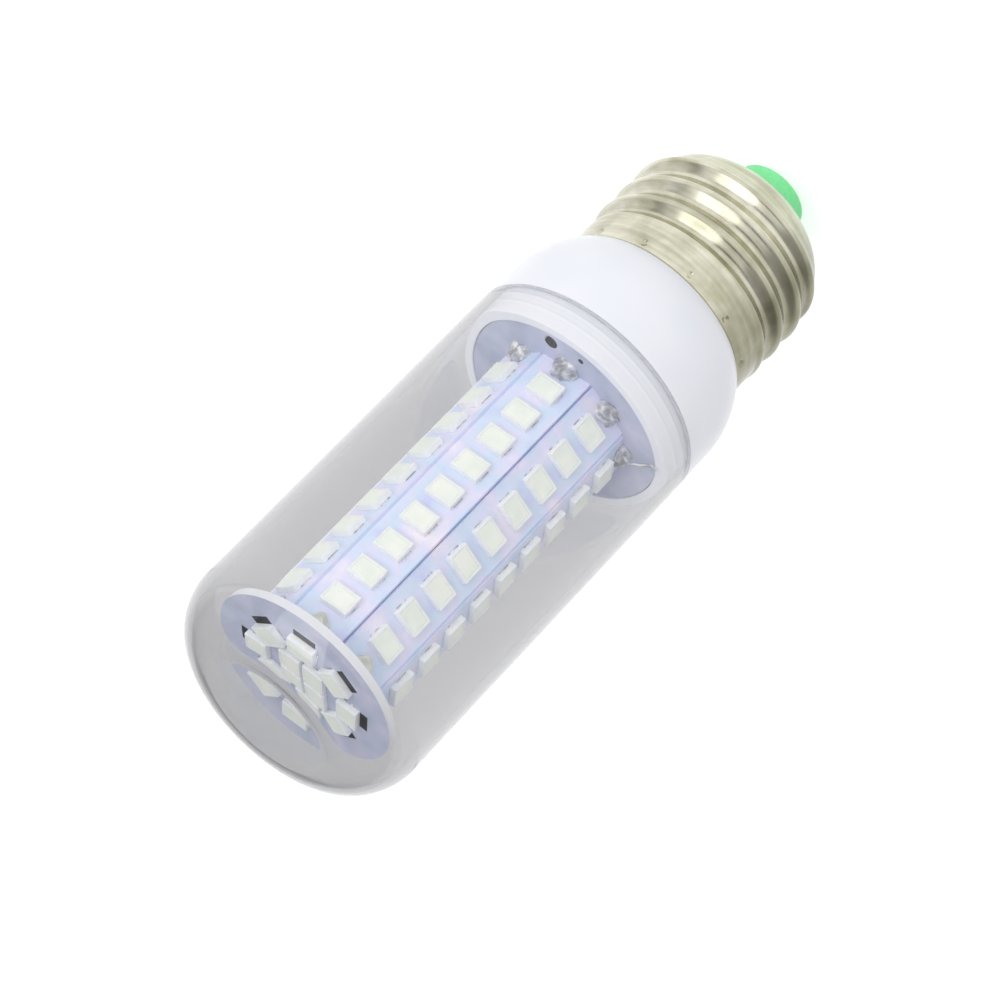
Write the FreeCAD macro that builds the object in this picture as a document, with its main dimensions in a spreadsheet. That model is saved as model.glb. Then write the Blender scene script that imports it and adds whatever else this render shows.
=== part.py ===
import FreeCAD, Part
import Sketcher
import math
import os
import re

Vector = FreeCAD.Vector

# The lamp stands on its screw cap. The tip of the centre contact is the origin, and +Z runs up
# through the cap, the collar and the clear cover. All sizes are in millimetres.
SIZES = {
    "length_over_all": 95.0,
    "cap_length": 26.7,
    "collar_height": 12.3,
    "contact_radius": 1.9,
    "contact_edge": 0.5,
    "contact_height": 1.6,
    "contact_shank": 0.9,
    "contact_length": 8.4,
    "insulator_face": 4.7,
    "insulator_edge": 0.7,
    "insulator_seat": 6.9,
    "insulator_flange": 9.0,
    "insulator_wall": 1.2,
    "sheet_thickness": 0.3,
    "fit_gap": 0.05,
    "nose_rim_radius": 7.2,
    "nose_rim_height": 5.4,
    "nose_cone_radius": 9.8,
    "nose_cone_height": 7.3,
    "thread_root": 12.15,
    "thread_crest": 13.05,
    "thread_pitch": 3.629,
    "thread_low": 9.6,
    "thread_high": 22.9,
    "thread_fade": 2.2,
    "thread_phase": 0.21,
    "band_radius": 12.75,
    "dimple_count": 12,
    "dimple_start": 11.6,
    "dimple_radius": 0.75,
    "dimple_depth": 0.3,
    "dimple_drop": 1.1,
    "neck_length": 3.4,
    "neck_wall": 1.2,
    "neck_groove_depth": 0.45,
    "neck_groove_width": 1.8,
    "lip_step": 0.2,
    "collar_step": 0.1,
    "shoulder_height": 7.3,
    "shoulder_curve": 12.2,
    "throat_height": 1.8,
    "wire_notch": 1.5,
    "cover_radius": 15.5,
    "cover_draft": 0.1,
    "cover_wall": 1.2,
    "cover_corner": 7.5,
    "cover_crown": 0.15,
    "spigot_gap": 0.1,
    "spigot_height": 4.2,
    "bead_height": 1.4,
    "bead_width": 1.0,
    "bead_proud": 0.2,
    "spigot_wall": 1.2,
    "recess_rise": 6.3,
    "rail_rise": 3.0,
    "rail_length": 2.8,
    "rail_wall": 1.2,
    "rail_foot": 0.8,
    "rail_bite": 0.3,
    "base_board_rise": 4.0,
    "base_board_thickness": 1.6,
    "end_board_drop": 6.7,
    "end_board_radius": 11.8,
    "end_board_thickness": 1.0,
    "strip_count": 8,
    "strip_apothem": 8.4,
    "strip_thickness": 0.6,
    "strip_gap": 0.03,
    "tab_width": 2.8,
    "tab_recess": 0.7,
    "slot_clearance": 0.1,
    "slot_outward": 0.35,
    "led_rows": 9,
    "led_first": 3.9,
    "led_last": 4.8,
    "led_width": 3.5,
    "led_length": 2.8,
    "led_height": 0.8,
    "led_rim": 0.28,
    "led_cup_depth": 0.45,
    "led_cup_slope": 0.25,
    "led_fill_drop": 0.05,
    "end_led_ring": 6.3,
    "end_led_spacing": 0.4,
    "base_joint_width": 1.7,
    "base_joint_height": 1.7,
    "base_joint_reach": 1.5,
    "end_joint_width": 1.6,
    "end_joint_height": 2.4,
    "end_joint_reach": 1.4,
    "wire_hole_inset": 1.4,
    "wire_hole_radius": 0.85,
    "wire_hole_angle": 12.0,
    "via_radius": 0.35,
    "via_angle": -8.3,
    "driver_inset": 2.2,
    "driver_thickness": 1.2,
    "driver_headroom": 0.4,
    "component_lift": 0.5,
    "component_gap": 1.0,
    "film_width": 9.0,
    "film_depth": 4.6,
    "film_height": 6.8,
    "electrolytic_radius": 3.15,
    "electrolytic_length": 8.6,
    "bridge_width": 4.8,
    "bridge_depth": 2.4,
    "bridge_height": 3.9,
    "bridge_place": 2.2,
    "resistor_radius": 1.15,
    "resistor_length": 5.6,
    "resistor_place": 4.6,
    "resistor_lead": 0.3,
    "resistor_span": 7.6,
    "resistor_bend": 0.7,
    "bleed_lift": 2.4,
    "fuse_lift": 6.4,
    "wire_radius": 0.5,
    "live_joint": 2.2,
    "live_drop": 4.5,
    "live_bend": 7.8,
    "neutral_joint": 0.45,
    "neutral_bend": 2.6,
    "lead_radius": 0.4,
    "lead_place": 4.0,
    "lead_foot": 3.4,
    "solder_dot": 0.95,
}

doc = FreeCAD.newDocument("corn_led_bulb")
size = doc.addObject("Spreadsheet::Sheet", "size")
for row, (alias, number) in enumerate(SIZES.items(), start=1):
    size.set("A%d" % row, alias)
    size.set("B%d" % row, str(number))
    size.setAlias("B%d" % row, alias)
doc.recompute()

sub_parts = []


def formula(text):
    """Point every size that is named in a formula at its cell of the sheet."""
    return re.sub(r"[a-z_]+", lambda word: "size." + word.group() if word.group() in SIZES else word.group(), text)


def number(text):
    """The present value of a formula, in millimetres or degrees."""
    return float(size.evalExpression(formula(text)))


def bind(target, **formulas):
    """Tie properties of an object to formulas; a double underscore in a name stands for a dot."""
    for name, text in formulas.items():
        target.setExpression(name.replace("__", "."), formula(text))


def keep(target, label):
    """Name a finished sub-part, which also names its file."""
    target.Label = label
    sub_parts.append(target)
    return target


# Heights that several pieces share
SEAM = "(cap_length + collar_height)"
BASE_TOP = "(cap_length + collar_height + base_board_rise)"
BASE_UNDER = "(cap_length + collar_height + base_board_rise - base_board_thickness)"
END_FACE = "(length_over_all - end_board_drop)"
END_BACK = "(length_over_all - end_board_drop - end_board_thickness)"
STRIP_BACK = "(strip_apothem - strip_thickness)"
STRIP_WIDTH = "(2 * (strip_apothem - strip_thickness) * tan(180 / strip_count) - 2 * strip_gap)"
NOSE_SLOPE = "((nose_cone_height - nose_rim_height) / (nose_cone_radius - nose_rim_radius))"
NECK_END = "(cap_length - neck_length)"
NECK_RADIUS = "(band_radius - sheet_thickness - fit_gap)"
NECK_BORE = "(band_radius - sheet_thickness - fit_gap - neck_wall)"
SPIGOT_RADIUS = "(cover_radius - cover_wall - spigot_gap)"
RECESS_RADIUS = "(cover_radius - cover_wall - spigot_gap - spigot_wall)"
BOARD_RADIUS = "(cover_radius - cover_wall - spigot_gap - spigot_wall - spigot_gap)"
HOLE_PLACE = "(cover_radius - cover_wall - spigot_gap - spigot_wall - spigot_gap - wire_hole_inset)"
RAIL_LOW = "(cap_length + rail_rise)"
DRIVER_LOW = "(cap_length + rail_rise + rail_foot)"
DRIVER_TOP = "(cap_length + collar_height + base_board_rise - base_board_thickness - driver_headroom)"
DRIVER_FACE = "(driver_thickness / 2)"

strip_count = int(number("strip_count"))
strip_angles = [360.0 / strip_count * k for k in range(strip_count)]


def origin_plane(body, role):
    """The named origin plane of a body."""
    return [feature for feature in body.Origin.OriginFeatures if feature.Role == role][0]


def outline(body, name, points, role="XZ_Plane", height=None):
    """A closed sketch through points given as formulas; a third value is the radius of an arc to the next
    point, positive where the arc's centre lies to the left of the way there."""
    sketch = body.newObject("Sketcher::SketchObject", name)
    sketch.AttachmentSupport = [(origin_plane(body, role), "")]
    sketch.MapMode = "FlatFace"
    if height:
        bind(sketch, AttachmentOffset__Base__z=height)
    places = [Vector(number(point[0]), number(point[1]), 0) for point in points]
    ends = []
    for index, point in enumerate(points):
        start = places[index]
        end = places[(index + 1) % len(points)]
        if len(point) == 2:
            geometry = sketch.addGeometry(Part.LineSegment(start, end), False)
            ends.append((geometry, 1, 2))
            continue
        radius = number(point[2])
        chord = end - start
        left = Vector(-chord.y, chord.x, 0).normalize()
        rise = math.sqrt(max(radius ** 2 - chord.Length ** 2 / 4, 0.0))
        centre = (start + end) * 0.5 + left * (rise if radius > 0 else -rise)
        first, last = (start, end) if radius > 0 else (end, start)
        angles = [math.atan2(spot.y - centre.y, spot.x - centre.x) for spot in (first, last)]
        circle = Part.Circle(centre, Vector(0, 0, 1), abs(radius))
        geometry = sketch.addGeometry(Part.ArcOfCircle(circle, angles[0], angles[1]), False)
        ends.append((geometry, 1, 2) if radius > 0 else (geometry, 2, 1))
        row = sketch.addConstraint(Sketcher.Constraint("Radius", geometry, abs(radius)))
        sketch.setExpression("Constraints[%d]" % row, formula("abs(%s)" % point[2]))
    for index, (geometry, start, end) in enumerate(ends):
        follower = ends[(index + 1) % len(ends)]
        sketch.addConstraint(Sketcher.Constraint("Coincident", geometry, end, follower[0], follower[1]))
        for kind, axis, text, place in (("DistanceX", -2, points[index][0], places[index].x),
                                        ("DistanceY", -1, points[index][1], places[index].y)):
            if text == "0":
                sketch.addConstraint(Sketcher.Constraint("PointOnObject", geometry, start, axis))
                continue
            row = sketch.addConstraint(Sketcher.Constraint(kind, geometry, start, place))
            sketch.setExpression("Constraints[%d]" % row, formula(text))
    return sketch


def turned(label, points):
    """A piece turned about the lamp's axis from an outline of radius and height."""
    body = doc.addObject("PartDesign::Body", label)
    sketch = outline(body, label + "_outline", points)
    revolution = body.newObject("PartDesign::Revolution", label + "_turn")
    revolution.Profile = sketch
    revolution.ReferenceAxis = (sketch, ["V_Axis"])
    revolution.Angle = 360
    sketch.Visibility = False
    return body


def rectangle(x_low, x_high, y_low, y_high):
    """The four corners of a rectangle, as formulas."""
    return [(x_low, y_low), (x_high, y_low), (x_high, y_high), (x_low, y_high)]


def pocket(body, name, points, top, depth):
    """Sink a pocket of a given depth, downwards from a height."""
    sketch = outline(body, name + "_outline", points, "XY_Plane", top)
    cut = body.newObject("PartDesign::Pocket", name)
    cut.Profile = sketch
    bind(cut, Length=depth)
    cut.Reversed = False
    body.Tip = cut
    return cut, sketch


def pad(body, name, points, bottom, height):
    """Raise a block of a given height, upwards from a height."""
    raised = body.newObject("PartDesign::Pad", name)
    raised.Profile = outline(body, name + "_outline", points, "XY_Plane", bottom)
    bind(raised, Length=height)


# Centre contact: a plated rivet with a flat face and a rounded edge, whose shank passes the insulator
keep(turned("centre_contact", [
    ("0", "0"),
    ("contact_radius - contact_edge", "0", "contact_edge"),
    ("contact_radius", "contact_edge"),
    ("contact_radius", "contact_height"),
    ("contact_shank", "contact_height"),
    ("contact_shank", "contact_length"),
    ("0", "contact_length"),
]), "centre_contact")

# Tip insulator: green moulded plug, its boss in the opening of the nose and its flange behind the cone
flange_offset = "(sheet_thickness + fit_gap)"
nose_angle = "atan(%s)" % NOSE_SLOPE
flange_low = "(nose_rim_height + %s * cos(%s) + %s * (insulator_seat - nose_rim_radius + %s * sin(%s)))" % (
    flange_offset, nose_angle, NOSE_SLOPE, flange_offset, nose_angle)
flange_rise = "(%s * (insulator_flange - insulator_seat))" % NOSE_SLOPE
keep(turned("tip_insulator", [
    ("contact_shank + fit_gap", "contact_height"),
    ("insulator_face - insulator_edge", "contact_height", "insulator_edge"),
    ("insulator_face", "contact_height + insulator_edge"),
    ("insulator_face", "nose_rim_height"),
    ("insulator_seat", "nose_rim_height"),
    ("insulator_seat", flange_low),
    ("insulator_flange", flange_low + " + " + flange_rise),
    ("insulator_flange", flange_low + " + " + flange_rise + " + insulator_wall"),
    ("insulator_face", flange_low + " + insulator_wall"),
    ("contact_shank + fit_gap", flange_low + " + insulator_wall"),
]), "tip_insulator")


# Screw shell: one skin of nickel-plated sheet, pressed with a rounded right-hand thread that fades out at
# both ends, closed to a cone at the nose and left plain at the mouth, where punched dimples hold the collar
POINTS_PER_PITCH = 12
COLUMNS = 48


def thread_swell(angle, height):
    """How far the sheet stands out of the root: a cosine along the helix, faded over the run-outs. The
    amplitude is raised by what a cubic skin loses between points that lie a twelfth of a pitch apart."""
    low = number("thread_low")
    high = number("thread_high")
    fade = number("thread_fade")
    pitch = number("thread_pitch")
    depth = number("thread_crest - thread_root")
    lost = (2 + math.cos(2 * math.pi / POINTS_PER_PITCH)) / 3
    edge = min((height - low) / fade, (high - height) / fade, 1.0)
    if edge <= 0.0:
        return 0.0
    smooth = edge * edge * (3 - 2 * edge)
    turn = 2 * math.pi * (height - low - number("thread_phase")) / pitch - angle
    return smooth * depth * (1 - math.cos(turn) / lost) / 2


def shell_spine():
    """Radius, height and outward direction along the sheet, from the rim of the nose to the mouth."""
    rim = Vector(number("nose_rim_radius"), number("nose_rim_height"), 0)
    cone = Vector(number("nose_cone_radius"), number("nose_cone_height"), 0)
    root = number("thread_root")
    slope = number(NOSE_SLOPE)
    knee = Vector(root, cone.y + slope * (root - cone.x), 0)
    wall = Vector(root, knee.y + (knee - cone).Length, 0)
    spine = [rim + (cone - rim) * (step / 5.0) for step in range(5)]
    for step in range(6):
        share = step / 6.0
        spine.append(cone * (1 - share) ** 2 + knee * (2 * share * (1 - share)) + wall * share ** 2)
    top = number("cap_length")
    rise = number("thread_pitch") / POINTS_PER_PITCH
    rows = max(int(round((top - wall.y) / rise)), 4)
    for step in range(rows + 1):
        spine.append(Vector(root, wall.y + (top - wall.y) * step / rows, 0))
    return spine


def shell_grid(inset):
    """Rows of points of the sheet's outer side, or of its inner side where inset is its thickness. The
    radius is raised by what a closed cubic skin loses between its points."""
    lost = (2 + math.cos(2 * math.pi / COLUMNS)) / 3
    spine = shell_spine()
    high = number("thread_high")
    fade = number("thread_fade")
    swell_to_band = number("band_radius - thread_root")
    grid = []
    for column in range(COLUMNS):
        angle = 2 * math.pi * column / COLUMNS
        line = []
        for index, spot in enumerate(spine):
            before = spine[max(index - 1, 0)]
            after = spine[min(index + 1, len(spine) - 1)]
            way = (after - before).normalize()
            share = min(max((spot.y - high + fade) / fade, 0.0), 1.0)
            radius = spot.x + swell_to_band * share * share * (3 - 2 * share)
            radius += thread_swell(angle, spot.y) - inset * way.y
            reach = radius / lost
            line.append(Vector(reach * math.cos(angle), reach * math.sin(angle), spot.y + inset * way.x))
        grid.append(line)
    return grid


def shell_skin(inset):
    """A smooth closed skin through a grid of points."""
    grid = shell_grid(inset)
    around = len(grid)
    along = len(grid[0])
    skin = Part.BSplineSurface()
    skin.buildFromPolesMultsKnots(grid, [1] * (around + 1), [4] + [1] * (along - 4) + [4],
                                  list(range(around + 1)), list(range(along - 2)), True, False, 3, 3)
    return skin.toShape()


def end_circle(skin, low):
    """The round edge at the lower or the upper end of a skin."""
    rounds = sorted((edge for edge in skin.Edges if edge.Closed), key=lambda edge: edge.BoundBox.Center.z)
    return rounds[0] if low else rounds[-1]


outer_skin = shell_skin(0.0)
inner_skin = shell_skin(number("sheet_thickness"))
rims = [Part.makeRuledSurface(end_circle(outer_skin, low), end_circle(inner_skin, low)) for low in (True, False)]
skins = Part.makeShell([outer_skin, inner_skin] + rims)
skins.sewShape()
sheet_solid = Part.makeSolid(skins)
if sheet_solid.Volume < 0:
    sheet_solid.reverse()

dents = []
bulges = []
band = number("band_radius")
thickness = number("sheet_thickness")
ball = (number("dimple_radius") ** 2 + number("dimple_depth") ** 2) / (2 * number("dimple_depth"))
dimple_height = number("cap_length - dimple_drop")
inner_core = Part.makeCylinder(band - thickness / 2, number("cap_length"))
for index in range(int(number("dimple_count"))):
    angle = math.radians(number("dimple_start + 360 / dimple_count * %d" % index))
    reach = band + ball - number("dimple_depth")
    centre = Vector(reach * math.cos(angle), reach * math.sin(angle), dimple_height)
    dents.append(Part.makeSphere(ball, centre))
    bulges.append(Part.makeSphere(ball + thickness, centre).common(inner_core))
screw_shell = doc.addObject("Part::Feature", "screw_shell")
screw_shell.Shape = sheet_solid.fuse(bulges).cut(Part.makeCompound(dents))
screw_shell.Placement = FreeCAD.Placement()
keep(screw_shell, "screw_shell")

# Collar: glossy white moulding. Its neck sits in the shell, its spigot carries the cover, and inside it has
# two pairs of rails for the driver board, whose tops carry the base board
groove_centre = "(cap_length - dimple_drop)"
bead_low = "(cap_length + collar_height + bead_height)"
collar = turned("collar", [
    (NECK_BORE, NECK_END),
    (NECK_RADIUS, NECK_END),
    (NECK_RADIUS, groove_centre + " - neck_groove_width / 2"),
    (NECK_RADIUS + " - neck_groove_depth", groove_centre + " - neck_groove_width / 2"),
    (NECK_RADIUS + " - neck_groove_depth", groove_centre + " + neck_groove_width / 2"),
    (NECK_RADIUS, groove_centre + " + neck_groove_width / 2"),
    (NECK_RADIUS, "cap_length"),
    ("band_radius + lip_step", "cap_length", "shoulder_curve"),
    ("cover_radius - collar_step", "cap_length + shoulder_height"),
    ("cover_radius - collar_step", SEAM),
    (SPIGOT_RADIUS, SEAM),
    (SPIGOT_RADIUS, bead_low),
    (SPIGOT_RADIUS + " + bead_proud", bead_low + " + bead_proud"),
    (SPIGOT_RADIUS + " + bead_proud", bead_low + " + bead_width - bead_proud"),
    (SPIGOT_RADIUS, bead_low + " + bead_width"),
    (SPIGOT_RADIUS, SEAM + " + spigot_height"),
    (RECESS_RADIUS, SEAM + " + spigot_height"),
    (RECESS_RADIUS, "cap_length + recess_rise"),
    (NECK_BORE, "cap_length + throat_height"),
])
doc.recompute()
groove = "(driver_thickness / 2 + fit_gap)"
rail_root = "(%s + rail_bite)" % RECESS_RADIUS
for side, label in ((1, "right"), (-1, "left")):
    near = "%d * (%s - rail_length)" % (side, RECESS_RADIUS)
    far = "%d * %s" % (side, rail_root)
    for hand, place in ((1, "back"), (-1, "front")):
        low = "%d * %s" % (hand, groove)
        high = "%d * (%s + rail_wall)" % (hand, groove)
        pad(collar, "rail_%s_%s" % (label, place), rectangle(near, far, low, high), RAIL_LOW,
            BASE_UNDER + " - " + RAIL_LOW)
    pad(collar, "foot_%s" % label, rectangle(near, far, "-1 * " + groove, groove), RAIL_LOW, "rail_foot")
pocket(collar, "notch", rectangle("-wire_notch / 2", "wire_notch / 2", NECK_BORE + " - wire_notch", "band_radius"),
       NECK_END + " + wire_notch", "wire_notch")
keep(collar, "collar")

# Clear cover: one moulded cup with a rounded, slightly crowned end, and a groove that snaps on the bead
top_radius = "(cover_radius - cover_draft)"
corner_height = "(length_over_all - cover_crown - cover_corner)"
inner_corner = "(cover_corner - cover_wall)"
flat_radius = "(cover_radius - cover_draft - cover_corner)"
crown_curve = "((%s ^ 2 + cover_crown ^ 2) / (2 * cover_crown))" % flat_radius
bore_radius = "(cover_radius - cover_wall)"
keep(turned("clear_cover", [
    (bore_radius, SEAM),
    ("cover_radius", SEAM),
    (top_radius, corner_height, "cover_corner"),
    (flat_radius, "length_over_all - cover_crown", crown_curve),
    ("0", "length_over_all"),
    ("0", "length_over_all - cover_wall", "-1 * %s" % crown_curve),
    (flat_radius, "length_over_all - cover_crown - cover_wall", "-1 * %s" % inner_corner),
    (top_radius + " - cover_wall", corner_height),
    (bore_radius, bead_low + " + bead_width + spigot_gap"),
    (bore_radius + " + bead_proud", bead_low + " + bead_width - bead_proud + spigot_gap"),
    (bore_radius + " + bead_proud", bead_low + " + bead_proud - spigot_gap"),
    (bore_radius, bead_low + " - spigot_gap"),
]), "clear_cover")


def slotted_disc(label, radius, thickness_text, bottom):
    """A round board with one slot for the tab of each strip."""
    body = doc.addObject("PartDesign::Body", label)
    sketch = body.newObject("Sketcher::SketchObject", label + "_outline")
    sketch.AttachmentSupport = [(origin_plane(body, "XY_Plane"), "")]
    sketch.MapMode = "FlatFace"
    bind(sketch, AttachmentOffset__Base__z=bottom)
    sketch.addGeometry(Part.Circle(Vector(0, 0, 0), Vector(0, 0, 1), number(radius)), False)
    sketch.addConstraint(Sketcher.Constraint("Coincident", 0, 3, -1, 1))
    row = sketch.addConstraint(Sketcher.Constraint("Radius", 0, number(radius)))
    sketch.setExpression("Constraints[%d]" % row, formula(radius))
    disc = body.newObject("PartDesign::Pad", label + "_disc")
    disc.Profile = sketch
    bind(disc, Length=thickness_text)
    half = "(tab_width / 2 + slot_clearance)"
    cut, slot_sketch = pocket(
        body, label + "_slot",
        rectangle(STRIP_BACK + " - slot_clearance", "strip_apothem + slot_outward", "-1 * " + half, half),
        bottom + " + " + thickness_text, thickness_text)
    doc.recompute()
    pattern = body.newObject("PartDesign::PolarPattern", label + "_slots")
    pattern.Originals = [cut]
    pattern.Axis = (slot_sketch, ["N_Axis"])
    pattern.Angle = 360
    pattern.Occurrences = strip_count
    body.Tip = pattern
    return body


def drill(body, name, top, depth, holes):
    """Round holes, each given as the place of its centre and its radius."""
    sketch = body.newObject("Sketcher::SketchObject", name + "_outline")
    sketch.AttachmentSupport = [(origin_plane(body, "XY_Plane"), "")]
    sketch.MapMode = "FlatFace"
    bind(sketch, AttachmentOffset__Base__z=top)
    for index, (across, along, radius) in enumerate(holes):
        spot = Vector(number(across), number(along), 0)
        sketch.addGeometry(Part.Circle(spot, Vector(0, 0, 1), number(radius)), False)
        for kind, text, place in (("DistanceX", across, spot.x), ("DistanceY", along, spot.y)):
            row = sketch.addConstraint(Sketcher.Constraint(kind, index, 3, place))
            sketch.setExpression("Constraints[%d]" % row, formula(text))
        row = sketch.addConstraint(Sketcher.Constraint("Radius", index, number(radius)))
        sketch.setExpression("Constraints[%d]" % row, formula(radius))
    cut = body.newObject("PartDesign::Pocket", name)
    cut.Profile = sketch
    bind(cut, Length=depth)
    cut.Reversed = False
    body.Tip = cut


# Base board: round board in the recess of the collar, with the strips' slots, a wire hole and the two
# holes for the driver's leads
base_board = slotted_disc("base_board", BOARD_RADIUS, "base_board_thickness", BASE_UNDER)
lead_depth = "(driver_thickness / 2 + lead_radius)"
drill(base_board, "base_board_holes", BASE_TOP, "base_board_thickness", [
    (HOLE_PLACE + " * cos(wire_hole_angle)", HOLE_PLACE + " * sin(wire_hole_angle)", "wire_hole_radius"),
    (HOLE_PLACE + " * cos(via_angle)", HOLE_PLACE + " * sin(via_angle)", "via_radius"),
    ("lead_place", lead_depth, "lead_radius + spigot_gap"),
    ("-1 * lead_place", lead_depth, "lead_radius + spigot_gap"),
])
keep(base_board, "base_board")

# End board: round board at the dome end, with the same slots
keep(slotted_disc("end_board", "end_board_radius", "end_board_thickness", END_BACK), "end_board")

# Strips: flat boards that stand in a ring between the two round boards, with a tab at each end
for index, angle in enumerate(strip_angles, start=1):
    slabs = []
    for name, width, low, high in (
            ("board", STRIP_WIDTH, BASE_TOP, END_BACK),
            ("low_tab", "tab_width", BASE_UNDER, BASE_TOP),
            ("high_tab", "tab_width", END_BACK, "(%s - tab_recess)" % END_FACE)):
        slab = doc.addObject("Part::Box", "strip_%d_%s" % (index, name))
        bind(slab, Length="strip_thickness", Width=width, Height="%s - %s" % (high, low),
             Placement__Base__x=STRIP_BACK, Placement__Base__y="-%s / 2" % width, Placement__Base__z=low)
        slabs.append(slab)
    strip = doc.addObject("Part::MultiFuse", "led_strip_%d" % index)
    strip.Shapes = slabs
    strip.Placement = FreeCAD.Placement(Vector(0, 0, 0), FreeCAD.Rotation(Vector(0, 0, 1), angle))
    keep(strip, "led_strip_%d" % index)

# One light: a white package with a tapered cup, and the phosphor fill in the cup. It is drawn at the
# origin with its light going up, and the rows below are copies of it
package_block = doc.addObject("Part::Box", "package_block")
bind(package_block, Length="led_width", Width="led_length", Height="led_height",
     Placement__Base__x="-led_width / 2", Placement__Base__y="-led_length / 2")


def tapered(name, top_drop):
    """The hollow of the cup, up to a little under the top of the package."""
    wedge = doc.addObject("Part::Wedge", name)
    half_width = "(led_width / 2 - led_rim)"
    half_length = "(led_length / 2 - led_rim)"
    slope = "(led_cup_slope * %s / led_cup_depth)" % top_drop
    bind(wedge, Ymin="0", Ymax="led_cup_depth - %s" % top_drop,
         X2min="-%s + %s" % (half_width, slope), X2max="%s - %s" % (half_width, slope),
         Z2min="-%s + %s" % (half_length, slope), Z2max="%s - %s" % (half_length, slope),
         Xmin="-%s + led_cup_slope" % half_width, Xmax="%s - led_cup_slope" % half_width,
         Zmin="-%s + led_cup_slope" % half_length, Zmax="%s - led_cup_slope" % half_length,
         Placement__Base__z="led_height - led_cup_depth")
    wedge.Placement.Rotation = FreeCAD.Rotation(Vector(1, 0, 0), 90)
    return wedge


cup_hollow = tapered("cup_hollow", "0")
package = doc.addObject("Part::Cut", "package")
package.Base = package_block
package.Tool = cup_hollow
phosphor = tapered("phosphor", "led_fill_drop")


def solder_corner(end):
    """A solder joint: a quarter of an ellipsoid in the corner between a strip and a round board."""
    lump = doc.addObject("Part::Ellipsoid", end + "_solder")
    lump.Angle1 = 0
    lump.Angle2 = 90
    lump.Angle3 = 180
    bind(lump, Radius1=end + "_joint_height", Radius2=end + "_joint_width", Radius3=end + "_joint_reach")
    return lump


base_solder = solder_corner("base")
end_solder = solder_corner("end")
doc.recompute()

# Local axes of a light on a strip: across the strip, along the lamp, outwards
ON_STRIP = FreeCAD.Rotation(Vector(0, 1, 0), Vector(0, 0, 1), Vector(1, 0, 0), "ZXY")


def copies(label, pattern, placements):
    """A group of separate solids, each a copy of a pattern at a placement of its own."""
    shapes = []
    for placement in placements:
        shape = pattern.Shape.copy()
        shape.Placement = placement.multiply(shape.Placement)
        shapes.append(shape)
    group = doc.addObject("Part::Feature", label)
    group.Shape = Part.makeCompound(shapes)
    group.Placement = FreeCAD.Placement()
    return keep(group, label)


def about_axis(angle):
    """A turn about the lamp's axis."""
    return FreeCAD.Placement(Vector(0, 0, 0), FreeCAD.Rotation(Vector(0, 0, 1), angle))


rows = int(number("led_rows"))
row_low = number(BASE_TOP + " + led_first")
row_high = number(END_BACK + " - led_last")
for index, angle in enumerate(strip_angles, start=1):
    places = []
    for step in range(rows):
        height = row_low + (row_high - row_low) * step / max(rows - 1, 1)
        local = FreeCAD.Placement(Vector(number("strip_apothem"), 0, height), ON_STRIP)
        places.append(about_axis(angle).multiply(local))
    copies("strip_leds_%d" % index, package, places)
    copies("strip_phosphor_%d" % index, phosphor, places)

# End lights: a ring with one light behind each slot, and four lights in the middle
end_places = []
for angle in strip_angles:
    local = FreeCAD.Placement(Vector(number("end_led_ring"), 0, number(END_FACE)),
                              FreeCAD.Rotation(Vector(0, 0, 1), -90))
    end_places.append(about_axis(angle).multiply(local))
for across in (-1, 1):
    for along in (-1, 1):
        spot = Vector(across * number("(led_width + end_led_spacing) / 2"),
                      along * number("(led_length + end_led_spacing) / 2"), number(END_FACE))
        end_places.append(FreeCAD.Placement(spot, FreeCAD.Rotation()))
copies("end_leds", package, end_places)
copies("end_phosphor", phosphor, end_places)

# Solder joints at both ends of every strip
base_joint_places = []
end_joint_places = []
for angle in strip_angles:
    outwards = FreeCAD.Rotation(Vector(0, 0, 1), -90)
    upwards = FreeCAD.Placement(Vector(number("strip_apothem"), 0, number(BASE_TOP)), outwards)
    turned_over = outwards.multiply(FreeCAD.Rotation(Vector(0, 1, 0), 180))
    downwards = FreeCAD.Placement(Vector(number("strip_apothem"), 0, number(END_BACK)), turned_over)
    base_joint_places.append(about_axis(angle).multiply(upwards))
    end_joint_places.append(about_axis(angle).multiply(downwards))
copies("base_joints", base_solder, base_joint_places)
copies("end_joints", end_solder, end_joint_places)


def block(label, length, width, height, x, y, z):
    """A plain block, placed by its low corner."""
    box = doc.addObject("Part::Box", label)
    bind(box, Length=length, Width=width, Height=height,
         Placement__Base__x=x, Placement__Base__y=y, Placement__Base__z=z)
    return keep(box, label)


# Driver board: it slides down between the rails and stands on their feet
driver_half = "(%s - driver_inset)" % RECESS_RADIUS
block("driver_board", "2 * " + driver_half, "driver_thickness", "%s - %s" % (DRIVER_TOP, DRIVER_LOW),
      "-" + driver_half, "-" + DRIVER_FACE, DRIVER_LOW)

# Film capacitor and bridge rectifier: blocks on the back of the driver board
block("film_capacitor", "film_width", "film_depth", "film_height",
      "-film_width", DRIVER_FACE, DRIVER_LOW + " + component_lift")
block("bridge_rectifier", "bridge_width", "bridge_depth", "bridge_height",
      "bridge_place", DRIVER_FACE, DRIVER_LOW + " + component_lift")

# Smoothing capacitor: a can that lies upright against the front of the driver board
can = doc.addObject("Part::Cylinder", "smoothing_capacitor")
bind(can, Radius="electrolytic_radius", Height="electrolytic_length",
     Placement__Base__x="-electrolytic_radius - component_gap",
     Placement__Base__y="-%s - electrolytic_radius" % DRIVER_FACE,
     Placement__Base__z=DRIVER_LOW + " + component_lift")
keep(can, "smoothing_capacitor")


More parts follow.
